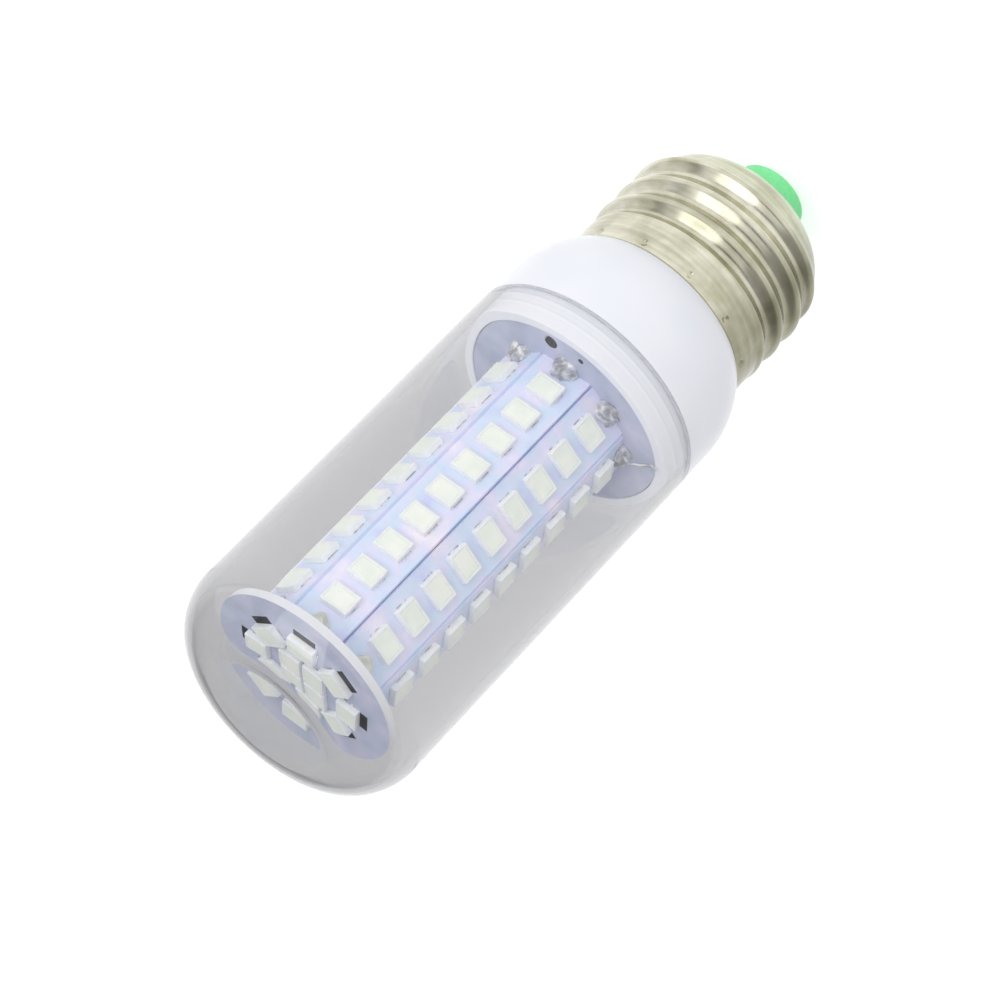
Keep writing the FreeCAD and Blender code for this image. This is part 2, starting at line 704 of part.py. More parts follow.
def wire_path(points, bend):
    """Straight runs joined by tangent arcs of one radius."""
    edges = []
    start = points[0]
    for before, corner, after in zip(points, points[1:], points[2:]):
        way_in = (corner - before).normalize()
        way_out = (after - corner).normalize()
        turn = way_in.getAngle(way_out)
        cut = bend * math.tan(turn / 2)
        arc_start = corner - way_in * cut
        arc_end = corner + way_out * cut
        bisector = (way_out - way_in).normalize()
        middle = corner + bisector * (bend / math.cos(turn / 2) - bend)
        edges.append(Part.LineSegment(start, arc_start).toShape())
        edges.append(Part.Arc(arc_start, middle, arc_end).toShape())
        start = arc_end
    edges.append(Part.LineSegment(start, points[-1]).toShape())
    return Part.Wire(edges)


def tube(name, points, radius, bend):
    """A round bar along a path, with its volume set against its section times its length."""
    path = wire_path(points, bend)
    profile = Part.Wire(Part.makeCircle(radius, points[0], points[1] - points[0]))
    bar = path.makePipeShell([profile], True, False)
    expected = math.pi * radius ** 2 * path.Length
    if abs(bar.Volume - expected) > 0.02 * expected:
        raise ValueError("%s has volume %.3f, not %.3f" % (name, bar.Volume, expected))
    print(name, "length %.2f, bend %.2f" % (path.Length, bend))
    return bar


def fixed(label, shape):
    """A sub-part whose shape is made from the sheet's present values."""
    whole = doc.addObject("Part::Feature", label)
    whole.Shape = shape
    whole.Placement = FreeCAD.Placement()
    return keep(whole, label)


# Resistors: each lies across the front of the driver board on one lead, bent down to the board at both ends
resistor_front = -number("(driver_thickness / 2 + resistor_radius + resistor_lead)")
resistor_middle = number("resistor_place")
half_span = number("resistor_span / 2")
for label, lift in (("bleed_resistor", "bleed_lift"), ("fuse_resistor", "fuse_lift")):
    height = number(DRIVER_LOW + " + " + lift)
    low = resistor_middle - half_span
    high = resistor_middle + half_span
    lead = tube(label + "_lead", [
        Vector(low, -number(DRIVER_FACE), height),
        Vector(low, resistor_front, height),
        Vector(high, resistor_front, height),
        Vector(high, -number(DRIVER_FACE), height),
    ], number("resistor_lead"), number("resistor_bend"))
    start = Vector(resistor_middle - number("resistor_length") / 2, resistor_front, height)
    barrel = Part.makeCylinder(number("resistor_radius"), number("resistor_length"), start, Vector(1, 0, 0))
    fixed(label, barrel.fuse(lead).removeSplitter())

# Supply wires: one from the driver to the end of the contact's shank, one through the notch of the neck to
# the band of the shell, both soldered to the driver board
wire_side = number("(driver_thickness / 2 + wire_radius)")
wire_radius = number("wire_radius")
driver_low = number(DRIVER_LOW)
contact_top = number("contact_length")
notch_height = number(NECK_END + " + wire_notch - wire_radius - fit_gap")
fixed("live_wire", tube("live_wire", [
    Vector(0, -wire_side, driver_low + number("live_joint")),
    Vector(0, -wire_side, driver_low - number("live_drop")),
    Vector(0, 0, driver_low / 2),
    Vector(0, 0, contact_top),
], wire_radius, number("live_bend")))
fixed("neutral_wire", tube("neutral_wire", [
    Vector(0, wire_side, driver_low + number("neutral_joint")),
    Vector(0, wire_side, notch_height),
    Vector(0, number(NECK_RADIUS), notch_height),
], wire_radius, number("neutral_bend")))

# Output leads: straight pins on the back of the driver board, up into the holes of the base board, where a
# solder bead holds each one
lead_radius = number("lead_radius")
lead_length = number("base_board_thickness + lead_foot")
lead_tops = []
for side, label in ((1, "positive_lead"), (-1, "negative_lead")):
    foot = Vector(side * number("lead_place"), number(lead_depth), number(BASE_UNDER + " - lead_foot"))
    fixed(label, Part.makeCylinder(lead_radius, lead_length, foot))
    lead_tops.append(FreeCAD.Placement(Vector(foot.x, foot.y, number(BASE_TOP)), FreeCAD.Rotation()))
dot = doc.addObject("Part::Sphere", "solder_bead")
dot.Angle1 = 0
bind(dot, Radius="solder_dot")
doc.recompute()
copies("lead_joints", dot, lead_tops)

# Every object has to be sound before anything is written
doc.recompute()
for item in doc.Objects:
    if "Invalid" in item.State or "Error" in item.State:
        raise RuntimeError("%s has failed: %s" % (item.Label, item.State))
os.makedirs("parts", exist_ok=True)
for item in sub_parts:
    if item.Shape.isNull() or not item.Shape.isValid():
        raise RuntimeError("%s has no sound shape" % item.Label)
    item.Shape.exportStep("parts/%s.step" % item.Label)
    print(item.Label, len(item.Shape.Solids), round(item.Shape.Volume, 2))
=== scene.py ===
"""A clear-covered LED lamp on a screw cap: nickel-plated shell, green insulator, white collar, a ring of
eight LED boards under a clear polycarbonate cover. Sizes in the sections are millimetres in the CAD frame:
the tip of the centre contact is the origin, +Z runs up through the clear end."""
import bpy
import bmesh
import math
import numpy as np
from mathutils import Matrix


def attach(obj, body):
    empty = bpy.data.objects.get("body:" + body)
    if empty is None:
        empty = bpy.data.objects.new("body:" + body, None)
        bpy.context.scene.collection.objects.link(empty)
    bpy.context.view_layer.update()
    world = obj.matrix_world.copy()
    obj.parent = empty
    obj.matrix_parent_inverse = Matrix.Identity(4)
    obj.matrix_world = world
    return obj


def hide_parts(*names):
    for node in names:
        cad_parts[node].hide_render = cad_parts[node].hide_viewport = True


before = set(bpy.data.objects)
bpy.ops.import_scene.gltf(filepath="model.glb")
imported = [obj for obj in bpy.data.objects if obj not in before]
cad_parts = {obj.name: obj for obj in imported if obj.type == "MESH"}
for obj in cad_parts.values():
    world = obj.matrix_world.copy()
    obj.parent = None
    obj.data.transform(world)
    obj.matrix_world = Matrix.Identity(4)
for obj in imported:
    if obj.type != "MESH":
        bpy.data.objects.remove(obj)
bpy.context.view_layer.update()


# Screw shell. One skin of thin steel sheet, pressed into a right-hand thread and closed to a cone, then
# nickel plated. It is seen as a bright, slightly warm metal, with rolling lines round it and a row of
# punched dimples near the mouth that hold the collar.
def linear(code):
    """An sRGB hex colour as linear red, green and blue, with full alpha."""
    channels = [int(code[k:k + 2], 16) / 255 for k in (1, 3, 5)]
    return [c / 12.92 if c <= 0.04045 else ((c + 0.055) / 1.055) ** 2.4 for c in channels] + [1.0]


def add_node(tree, kind, sockets=None, **settings):
    """Adds one node: settings are its properties, sockets its inputs, each a value or another node's output."""
    node = tree.nodes.new(kind)
    for key, value in settings.items():
        setattr(node, key, value)
    for key, value in (sockets or {}).items():
        if isinstance(value, bpy.types.NodeSocket):
            tree.links.new(value, node.inputs[key])
        else:
            node.inputs[key].default_value = value
    return node


def new_material(name):
    """A material with an empty tree, and that tree."""
    made = bpy.data.materials.new(name)
    made.use_nodes = True
    made.node_tree.nodes.clear()
    return made, made.node_tree


def mottle(tree, size_mm, stops, detail=2.0, stretch=(1, 1, 1)):
    """Cloudy colour from a noise on object coordinates, whose cells have the given size, through a ramp of
    (position, hex colour) stops. Returns the colour and the noise itself."""
    place = add_node(tree, "ShaderNodeTexCoord")
    spread = add_node(tree, "ShaderNodeMapping", {"Vector": place.outputs["Object"], "Scale": stretch})
    noise = add_node(tree, "ShaderNodeTexNoise",
                     {"Vector": spread.outputs[0], "Scale": 1000 / size_mm, "Detail": detail})
    ramp = add_node(tree, "ShaderNodeValToRGB", {"Fac": noise.outputs["Fac"]})
    while len(ramp.color_ramp.elements) < len(stops):
        ramp.color_ramp.elements.new(0.5)
    for element, (position, code) in zip(ramp.color_ramp.elements, stops):
        element.position = position
        element.color = linear(code)
    return ramp.outputs[0], noise.outputs["Fac"]


def grid_piece(name, grids, material, nodes=(), wrapped=True, sharp=40):
    """A mesh over grids of points in millimetres. Quads join each point to its neighbours, round the first
    way and, where wrapped, round the second way too; points that meet are merged, and the faces are turned
    outwards if the enclosed volume, the sum of the tetrahedra to the origin, is negative."""
    points, faces, start = [], [], 0
    for grid in grids:
        n, m = grid.shape[:2]
        index = np.arange(n * m).reshape(n, m) + start
        ahead = np.roll(index, -1, axis=0)
        quads = np.stack([index, ahead, np.roll(ahead, -1, axis=1), np.roll(index, -1, axis=1)], axis=-1)
        quads = (quads if wrapped else quads[:, :-1]).reshape(-1, 4)
        corners = grid.reshape(-1, 3)[quads - start]
        volume = np.einsum("ij,ij->", corners[:, 0], np.cross(corners[:, 1], corners[:, 2]))
        volume += np.einsum("ij,ij->", corners[:, 0], np.cross(corners[:, 2], corners[:, 3]))
        faces.append(quads if volume > 0 else quads[:, ::-1])
        points.append(grid.reshape(-1, 3) / 1000)
        start += n * m
    mesh = bpy.data.meshes.new(name)
    mesh.from_pydata(np.concatenate(points).tolist(), [], np.concatenate(faces).tolist())
    merged = bmesh.new()
    merged.from_mesh(mesh)
    bmesh.ops.remove_doubles(merged, verts=merged.verts, dist=1e-6)
    merged.to_mesh(mesh)
    merged.free()
    mesh.shade_smooth()
    mesh.set_sharp_from_angle(angle=math.radians(sharp))
    mesh.materials.append(material)
    piece = bpy.data.objects.new(name, mesh)
    bpy.context.scene.collection.objects.link(piece)
    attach(piece, "root")
    if nodes:
        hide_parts(*nodes)
    return piece


def smooth_step(x):
    """0 below 0, 1 above 1, and 3x^2 - 2x^3 between."""
    x = np.clip(x, 0, 1)
    return x * x * (3 - 2 * x)


# The sheet: root, depth, pitch and ends of the thread, the step out to the plain band, and the dimples
sheet_thickness = 0.3
thread_root, thread_depth, thread_pitch, thread_phase = 12.15, 0.9, 3.629, 9.81
thread_low, thread_high, thread_fade = 9.6, 22.9, 2.2
band_radius, band_step, band_low, cap_length = 12.75, 0.6, 20.7, 26.7
dimple_count, dimple_start, dimple_height = 12, math.radians(11.6), 25.6
dimple_depth, dimple_radius = 0.3, 0.74
nose_rim, nose_edge = np.array([7.2, 5.4]), np.array([9.8, 7.3])
knee_corner, knee_end = np.array([thread_root, 9.017]), np.array([thread_root, 11.928])


def shell_surface(spine, inset, columns):
    """The sheet at an inset from its outer side. Along the spine (radius, height), the outer radius is the
    root, plus the step to the plain band, plus a cosine along the helix that fades out at both ends, less a
    round dimple at each punch; the inset goes along the spine's normal."""
    turn = np.linspace(0, 2 * np.pi, columns, endpoint=False)[:, None]
    r, z = spine[:, 0][None, :], spine[:, 1][None, :]
    way = np.gradient(spine, axis=0)
    way /= np.linalg.norm(way, axis=1)[:, None]
    fade = smooth_step(np.minimum((z - thread_low) / thread_fade, (thread_high - z) / thread_fade))
    phase = 2 * np.pi * (z - thread_phase) / thread_pitch - turn
    wave = (1 - np.cos(phase)) / 2
    radius = r + band_step * smooth_step((z - band_low) / thread_fade) + thread_depth * fade * wave
    nearest = np.round((turn - dimple_start) * dimple_count / (2 * np.pi)) * 2 * np.pi / dimple_count + dimple_start
    away = np.hypot((turn - nearest) * band_radius, z - dimple_height)
    radius = radius - dimple_depth * (1 - smooth_step(away / dimple_radius)) - inset * way[:, 1][None, :]
    return np.stack([radius * np.cos(turn), radius * np.sin(turn),
                     z + inset * way[:, 0][None, :] + 0 * turn], axis=-1)


nickel_plate, tree = new_material("bright_nickel_plated_steel")
# Bright nickel: a yellowish white metal with cloudy, streaked tones from the barrel plating, mirror-like but
# softened by the rolling lines of the sheet; painted shade darkens the -Y side, and a painted shadow line
# darkens the seam at the mouth, under the collar's lip
streaks, lines = mottle(tree, 11.0, [(0.3, "#C0BEAC"), (0.5, "#D0CEBC"), (0.7, "#E0DECE")], 3.0, (1, 1, 14))
clouds, cloud = mottle(tree, 4.2, [(0.33, "#D6D5CC"), (0.66, "#FFFFFF")], 3.0)
tone = add_node(tree, "ShaderNodeMix", {0: 1.0, 6: streaks, 7: clouds}, data_type="RGBA", blend_type="MULTIPLY")
place = add_node(tree, "ShaderNodeTexCoord")
spot = add_node(tree, "ShaderNodeSeparateXYZ", {0: place.outputs["Object"]})
# Painted shade: the tone is multiplied darker from y = -6 mm to y = -12.5 mm, on the -Y side
painted_shade_minus_y = add_node(tree, "ShaderNodeMapRange", {"Value": spot.outputs[1], "From Min": -0.006, "From Max": -0.0125},
                interpolation_type="SMOOTHSTEP")
tone = add_node(tree, "ShaderNodeMix", {0: painted_shade_minus_y.outputs[0], 6: tone.outputs[2], 7: linear("#B4B4AA")},
                data_type="RGBA", blend_type="MULTIPLY")
# Painted shadow: a dark olive line over the top of the sheet, from 26.4 mm up, at the seam under the collar's lip
painted_seam_shade = add_node(tree, "ShaderNodeMapRange", {"Value": spot.outputs[2], "From Min": 0.02636, "From Max": 0.02662})
tone = add_node(tree, "ShaderNodeMix", {0: painted_seam_shade.outputs[0], 6: tone.outputs[2], 7: linear("#6A6448")},
                data_type="RGBA")
rough = add_node(tree, "ShaderNodeMapRange", {"Value": cloud, "To Min": 0.14, "To Max": 0.26})
relief = add_node(tree, "ShaderNodeBump", {"Height": lines, "Strength": 0.2, "Distance": 0.00003})
metal = add_node(tree, "ShaderNodeBsdfPrincipled", {"Base Color": tone.outputs[2], "Metallic": 1.0,
                                                    "Roughness": rough.outputs[0], "Normal": relief.outputs[0]})
add_node(tree, "ShaderNodeOutputMaterial", {"Surface": metal.outputs[0]})

cone = np.linspace(nose_rim, nose_edge, 8)
share = np.linspace(0, 1, 18)[1:-1, None]
knee = (1 - share) ** 2 * nose_edge + 2 * share * (1 - share) * knee_corner + share ** 2 * knee_end
wall = np.linspace(knee_end, [thread_root, cap_length], 112)
spine = np.vstack([cone, knee, wall])
outer = shell_surface(spine, 0.0, 540)
inner = shell_surface(spine[::5], sheet_thickness, 540)
sheet = np.concatenate([outer, inner[:, ::-1]], axis=1)
grid_piece("shell_nickel_skin", [sheet], nickel_plate, ["screw_shell"], sharp=50)


# Centre contact. A nickel-plated brass rivet, turned, whose head is the live contact and whose shank is
# pushed through the insulator.
def rounded(corners, step):
    """A closed profile through corners of radius, height and fillet. Each corner is cut by an arc tangent to
    both sides, its centre on the bisector at fillet / sin(half angle), and each straight run is divided into
    equal parts no longer than step."""
    corners = np.array(corners, float)
    spots = corners[:, :2]
    path = []
    for k, (spot, fillet) in enumerate(zip(spots, corners[:, 2])):
        back, ahead = spots[k - 1] - spot, spots[(k + 1) % len(spots)] - spot
        back, ahead = back / np.linalg.norm(back), ahead / np.linalg.norm(ahead)
        half = math.acos(np.clip(back @ ahead, -1, 1)) / 2
        if fillet == 0 or half > 1.5:
            path.append(spot[None])
            continue
        middle = spot + (back + ahead) / np.linalg.norm(back + ahead) * fillet / math.sin(half)
        first = spot + back * fillet / math.tan(half) - middle
        last = spot + ahead * fillet / math.tan(half) - middle
        share = np.linspace(0, 1, max(int(math.degrees(math.pi - 2 * half) / 6), 3))[:, None]
        turned = math.pi - 2 * half
        arc = (np.sin((1 - share) * turned) * first + np.sin(share * turned) * last) / math.sin(turned)
        path.append(middle + arc)
    path = np.concatenate(path)
    runs = []
    for here, there in zip(path, np.roll(path, -1, axis=0)):
        count = max(int(np.linalg.norm(there - here) / step), 1)
        runs.append(here + (there - here) * np.arange(count)[:, None] / count)
    return np.concatenate(runs)


def lathe(profile, columns):
    """A profile carried once round the lamp's axis: each point keeps its radius and height and is turned by
    equal parts of a full turn."""
    turn = np.linspace(0, 2 * np.pi, columns, endpoint=False)[:, None]
    r, z = profile[:, 0][None, :], profile[:, 1][None, :]
    return np.stack([r * np.cos(turn), r * np.sin(turn), z + 0 * turn], axis=-1)


contact_profile = rounded([(0, 0, 0), (1.9, 0, 0.5), (1.9, 1.6, 0.05), (0.9, 1.6, 0), (0.9, 8.4, 0.1), (0, 8.4, 0)],
                          0.3)
grid_piece("contact_rivet", [lathe(contact_profile, 64)], nickel_plate, ["centre_contact"])

# Tip insulator. A plug of bright green glass-filled plastic, moulded, held between the rivet and the cone
# of the shell. It is saturated and slightly translucent, with the soft shine of moulded plastic.
green_plastic, tree = new_material("moulded_green_plastic")
tone, grain = mottle(tree, 0.55, [(0.3, "#86FAA6"), (0.7, "#9BFFB7")])
relief = add_node(tree, "ShaderNodeBump", {"Height": grain, "Strength": 0.1, "Distance": 0.00003})
shade = add_node(tree, "ShaderNodeBsdfPrincipled",
                 {"Base Color": tone, "Roughness": 0.38, "Subsurface Weight": 0.15,
                  "Subsurface Radius": (0.6, 1.0, 0.6), "Subsurface Scale": 0.0006, "Normal": relief.outputs[0]})
add_node(tree, "ShaderNodeOutputMaterial", {"Surface": shade.outputs[0]})
plug_profile = rounded([(0.95, 1.6, 0.05), (4.7, 1.6, 0.7), (4.7, 5.4, 0), (6.9, 5.4, 0.1), (6.9, 5.614, 0),
                        (9.0, 7.149, 0.1), (9.0, 8.349, 0.1), (4.7, 6.814, 0), (0.95, 6.814, 0.05)], 0.4)
grid_piece("insulator_plug", [lathe(plug_profile, 128)], green_plastic, ["tip_insulator"])


# Collar. One glossy white moulding: its neck sits in the shell, its shoulder flares to the width of the
# cover, and the cover snaps over its spigot. Inside are rails for the driver board.
def bow(start, end, radius, count):
    """Points on an arc from start to end whose centre lies to the left of the way there: the chord's middle,
    plus the left normal times the square root of radius^2 less half the chord squared."""
    start, end = np.array(start, float), np.array(end, float)
    chord = end - start
    left = np.array([-chord[1], chord[0]]) / np.linalg.norm(chord)
    centre = (start + end) / 2 + left * math.sqrt(radius ** 2 - (chord @ chord) / 4)
    first, last = (math.atan2(*(spot - centre)[::-1]) for spot in (start, end))
    turn = np.linspace(first, last, count)
    return centre + radius * np.stack([np.cos(turn), np.sin(turn)], axis=-1)


def plain(points):
    """The same points as corners with no fillet."""
    return [(r, z, 0) for r, z in points]


def bar(low, high):
    """A closed block between two corners, as a grid of four rings: a point, the lower rim, the upper rim
    and a point again, the points at the middle of the ends."""
    low, high = np.array(low, float), np.array(high, float)
    middle = (low + high) / 2
    rim = np.array([[low[0], low[1]], [high[0], low[1]], [high[0], high[1]], [low[0], high[1]]])
    rings = [np.tile([middle[0], middle[1], low[2]], (4, 1)), np.column_stack([rim, np.full(4, low[2])]),
             np.column_stack([rim, np.full(4, high[2])]), np.tile([middle[0], middle[1], high[2]], (4, 1))]
    return np.stack(rings, axis=1)


white_plastic, tree = new_material("moulded_white_polycarbonate")
# Opaque white polycarbonate from a polished mould: cool white, glossy, with a faint wave in the surface
tone, wave = mottle(tree, 8.0, [(0.3, "#F1F3FA"), (0.7, "#F6F7FC")], 1.0)
relief = add_node(tree, "ShaderNodeBump", {"Height": wave, "Strength": 0.05, "Distance": 0.0001})
shade = add_node(tree, "ShaderNodeBsdfPrincipled",
                 {"Base Color": tone, "Roughness": 0.22, "IOR": 1.58, "Normal": relief.outputs[0]})
add_node(tree, "ShaderNodeOutputMaterial", {"Surface": shade.outputs[0]})
shoulder = bow([12.95, 26.7], [15.4, 34.0], 12.2, 24)[1:]
collar_profile = rounded(
    [(11.2, 23.3, 0.1), (12.4, 23.3, 0.1), (12.4, 24.7, 0), (11.95, 24.7, 0), (11.95, 26.5, 0),
     (12.4, 26.5, 0), (12.4, 26.7, 0), (12.95, 26.7, 0.15)] + plain(shoulder) +
    [(15.4, 38.94, 0.12), (14.2, 38.94, 0), (14.2, 39.7, 0.2), (14.27, 40.0, 0.2), (14.2, 40.3, 0.2),
     (14.2, 41.0, 0.2), (14.27, 41.3, 0.2), (14.2, 41.6, 0.2), (14.2, 43.2, 0.12), (13.0, 43.2, 0.12),
     (13.0, 33.0, 0.5), (11.2, 28.5, 0.5)], 0.5)
rails = []
for side in (-1, 1):
    inner_x, outer_x = sorted((side * 10.2, side * 12.9))
    for hand in (-1, 1):
        near, far = sorted((hand * 0.65, hand * 1.85))
        rails.append(bar((inner_x, near, 29.7), (outer_x, far, 41.4)))
    rails.append(bar((inner_x, -0.65, 29.7), (outer_x, 0.65, 30.5)))
grid_piece("collar_moulding", [lathe(collar_profile, 160)], white_plastic, ["collar"])
grid_piece("collar_rails", rails, white_plastic, wrapped=False)

# Boards. White solder mask over laminate: two round boards and eight narrow ones, cut with tabs that stand
# in the slots of the round ones. The mask is cool, with lavender, sky and rosy clouds; in the slots and on
# the ends of the strips it is painted near black, painted shade. The round boards carry the same mask as
# the strips in darker tones, also painted shade.
def solder_mask(name, stops, ends):
    """White mask with painted shade, near black, on faces that look along the lamp where ends is true, and
    else on the upright walls nearer the axis than 11.5 mm, which are the walls of the slots; the other
    upright walls are the pale rim."""
    mask, tree = new_material(name)
    tone, clouds = mottle(tree, 3.8, stops, 3.0)
    place = add_node(tree, "ShaderNodeTexCoord")
    facing = add_node(tree, "ShaderNodeSeparateXYZ", {0: place.outputs["Normal"]})
    upright = add_node(tree, "ShaderNodeMath", {0: facing.outputs[2]}, operation="ABSOLUTE")
    flat = add_node(tree, "ShaderNodeVectorMath", {0: place.outputs["Object"], 1: (1, 1, 0)}, operation="MULTIPLY")
    radius = add_node(tree, "ShaderNodeVectorMath", {0: flat.outputs[0]}, operation="LENGTH")
    wall = add_node(tree, "ShaderNodeMath", {0: upright.outputs[0], 1: 0.5},
                    operation="GREATER_THAN" if ends else "LESS_THAN")
    near = add_node(tree, "ShaderNodeMath", {0: radius.outputs["Value"], 1: 0.0115}, operation="LESS_THAN")
    # Painted shade: the slot walls and the ends of the strips are coloured near black
    cut = add_node(tree, "ShaderNodeMath", {0: wall.outputs[0], 1: near.outputs[0]}, operation="MULTIPLY")
    tone = add_node(tree, "ShaderNodeMix", {0: wall.outputs[0], 6: tone, 7: linear("#E9EAEE")}, data_type="RGBA")
    tone = add_node(tree, "ShaderNodeMix", {0: cut.outputs[0], 6: tone.outputs[2], 7: linear("#2B2B30")},
                    data_type="RGBA")
    relief = add_node(tree, "ShaderNodeBump", {"Height": clouds, "Strength": 0.12, "Distance": 0.00005})
    shade = add_node(tree, "ShaderNodeBsdfPrincipled",
                     {"Base Color": tone.outputs[2], "Roughness": 0.42, "Normal": relief.outputs[0]})
    add_node(tree, "ShaderNodeOutputMaterial", {"Surface": shade.outputs[0]})
    return mask


# The round boards take the strips' white mask in darker tones: painted shade
painted_shade_round_mask = solder_mask("white_mask_round_board", [(0.3, "#AEB3CD"), (0.45, "#B8C1D8"), (0.58, "#C4C6DE"),
                                                    (0.74, "#D2D1E5")], False)
strip_mask = solder_mask("white_mask_strip", [(0.28, "#D2D6FB"), (0.42, "#D5E6FC"), (0.56, "#E4E4FE"),
                                              (0.74, "#F8F0FC")], True)
for mask, nodes in ((painted_shade_round_mask, ["base_board", "end_board"]),
                    (strip_mask, ["led_strip_%d" % k for k in range(1, 9)])):
    for node in nodes:
        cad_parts[node].data.materials.clear()
        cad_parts[node].data.materials.append(mask)


# LED packages. A white moulded frame with a tapered cup, filled with cream-yellow silicone, soldered to the
# board by a tinned foot at each end. Nine stand on each strip and twelve on the end board.
def ring_loft(rings, count=4):
    """Rounded rectangles stacked to a closed form. A ring is half width, half length, corner radius, height
    and shift; its points are the four corner centres plus the radius along a direction that turns once."""
    quarter = np.linspace(0, np.pi / 2, count)
    turn = np.concatenate([quarter + k * np.pi / 2 for k in range(4)])[:, None]
    side_x = np.repeat([1, -1, -1, 1], count)[:, None]
    side_y = np.repeat([1, 1, -1, -1], count)[:, None]
    width, length, corner, height, shift = np.array(rings, float).T[:, None, :]
    return np.stack([side_x * (width - corner) + corner * np.cos(turn) + shift,
                     side_y * (length - corner) + corner * np.sin(turn), height + 0 * turn], axis=-1)


def placed(grid, origin, across, along, outwards):
    """A grid from its own axes to the lamp's: origin plus x, y and z times the three directions."""
    return np.asarray(origin) + grid @ np.array([across, along, outwards], float)


led_frame = ring_loft([
    (0, 0, 0, 0, 0), (1.72, 1.37, 0.05, 0, 0), (1.75, 1.40, 0.06, 0.03, 0), (1.75, 1.40, 0.06, 0.74, 0),
    (1.735, 1.385, 0.07, 0.78, 0), (1.70, 1.35, 0.08, 0.80, 0), (1.50, 1.15, 0.14, 0.80, 0),
    (1.465, 1.115, 0.15, 0.785, 0), (1.23, 0.88, 0.2, 0.36, 0), (1.2, 0.85, 0.2, 0.35, 0), (0, 0, 0, 0.35, 0)])
led_fill = ring_loft([
    (0, 0, 0, 0.36, 0), (1.22, 0.87, 0.2, 0.36, 0), (1.45, 1.10, 0.16, 0.74, 0), (1.42, 1.07, 0.16, 0.765, 0),
    (1.2, 0.85, 0.2, 0.75, 0), (0.6, 0.4, 0.2, 0.742, 0), (0, 0, 0, 0.74, 0)])
led_feet = [ring_loft([(0, 0, 0, 0, side * 1.74), (0.15, 0.8, 0.05, 0, side * 1.74),
                       (0.12, 0.78, 0.05, 0.12, side * 1.73), (0, 0, 0, 0.12, side * 1.73)]) for side in (-1, 1)]

package_white, tree = new_material("moulded_led_package")
# White polyphthalamide: matt, bright, a little translucent
tone, grain = mottle(tree, 0.7, [(0.3, "#ECEFEF"), (0.7, "#F5F7F7")])
shade = add_node(tree, "ShaderNodeBsdfPrincipled", {"Base Color": tone, "Roughness": 0.4})
add_node(tree, "ShaderNodeOutputMaterial", {"Surface": shade.outputs[0]})

phosphor_fill, tree = new_material("phosphor_silicone")
# Clear silicone with a pale cream phosphor powder: soft, smooth, off-white with a faint green tinge
tone, clouds = mottle(tree, 2.4, [(0.3, "#EDF5EA"), (0.7, "#FAFDF3")])
shade = add_node(tree, "ShaderNodeBsdfPrincipled", {"Base Color": tone, "Roughness": 0.3})
add_node(tree, "ShaderNodeOutputMaterial", {"Surface": shade.outputs[0]})

tin_solder, tree = new_material("tin_solder")
# Tin solder, frozen from the melt: bright, crinkled, with small pits
tone, crinkle = mottle(tree, 1.0, [(0.38, "#B8BABE"), (0.6, "#FFFFFF")], 2.0)
relief = add_node(tree, "ShaderNodeBump", {"Height": crinkle, "Strength": 0.9, "Distance": 0.0004})
shade = add_node(tree, "ShaderNodeBsdfPrincipled",
                 {"Base Color": tone, "Metallic": 0.7, "Roughness": 0.22, "Normal": relief.outputs[0]})
add_node(tree, "ShaderNodeOutputMaterial", {"Surface": shade.outputs[0]})

flux_solder, tree = new_material("flux_coated_solder")
# Solder under a skin of dried flux: cream with a green tinge, glossy, only partly metallic
tone, crinkle = mottle(tree, 1.1, [(0.3, "#C3C9B8"), (0.65, "#F0F0E6")], 3.0)
relief = add_node(tree, "ShaderNodeBump", {"Height": crinkle, "Strength": 0.5, "Distance": 0.0003})
shade = add_node(tree, "ShaderNodeBsdfPrincipled",
                 {"Base Color": tone, "Metallic": 0.35, "Roughness": 0.25, "Normal": relief.outputs[0]})
add_node(tree, "ShaderNodeOutputMaterial", {"Surface": shade.outputs[0]})

strip_face, base_top, end_back, end_face = 8.4, 43.0, 87.3, 88.3
strip_turns = np.radians(np.arange(8) * 45.0)
led_heights = np.linspace(46.9, 82.5, 9)
for number, turn in enumerate(strip_turns, start=1):
    outwards = np.array([math.cos(turn), math.sin(turn), 0])
    across = np.array([-math.sin(turn), math.cos(turn), 0])
    spots = [outwards * strip_face + [0, 0, height] for height in led_heights]
    for name, parts, material, slot, nodes in (
            ("led_frames_%d" % number, [led_frame], package_white, "led_package", ["strip_leds_%d" % number]),
            ("led_fills_%d" % number, [led_fill], phosphor_fill, "phosphor", ["strip_phosphor_%d" % number]),
            ("led_feet_%d" % number, led_feet, tin_solder, "solder", ())):
        grids = [placed(part, spot, across, (0, 0, 1), outwards) for spot in spots for part in parts]
        grid_piece(name, grids, material, nodes, wrapped=False)

end_spots = [(6.3 * math.cos(turn), 6.3 * math.sin(turn), turn - math.pi / 2) for turn in strip_turns]
end_spots += [(x, y, 0.0) for x in (-1.95, 1.95) for y in (-1.6, 1.6)]
for name, parts, material, slot, nodes in (
        ("end_led_frames", [led_frame], package_white, "led_package", ["end_leds"]),
        ("end_led_fills", [led_fill], phosphor_fill, "phosphor", ["end_phosphor"]),
        ("end_led_feet", led_feet, tin_solder, "solder", ())):
    grids = [placed(part, (x, y, end_face), (math.cos(turn), math.sin(turn), 0), (-math.sin(turn), math.cos(turn), 0),
                    (0, 0, 1)) for x, y, turn in end_spots for part in parts]
    grid_piece(name, grids, material, nodes, wrapped=False)


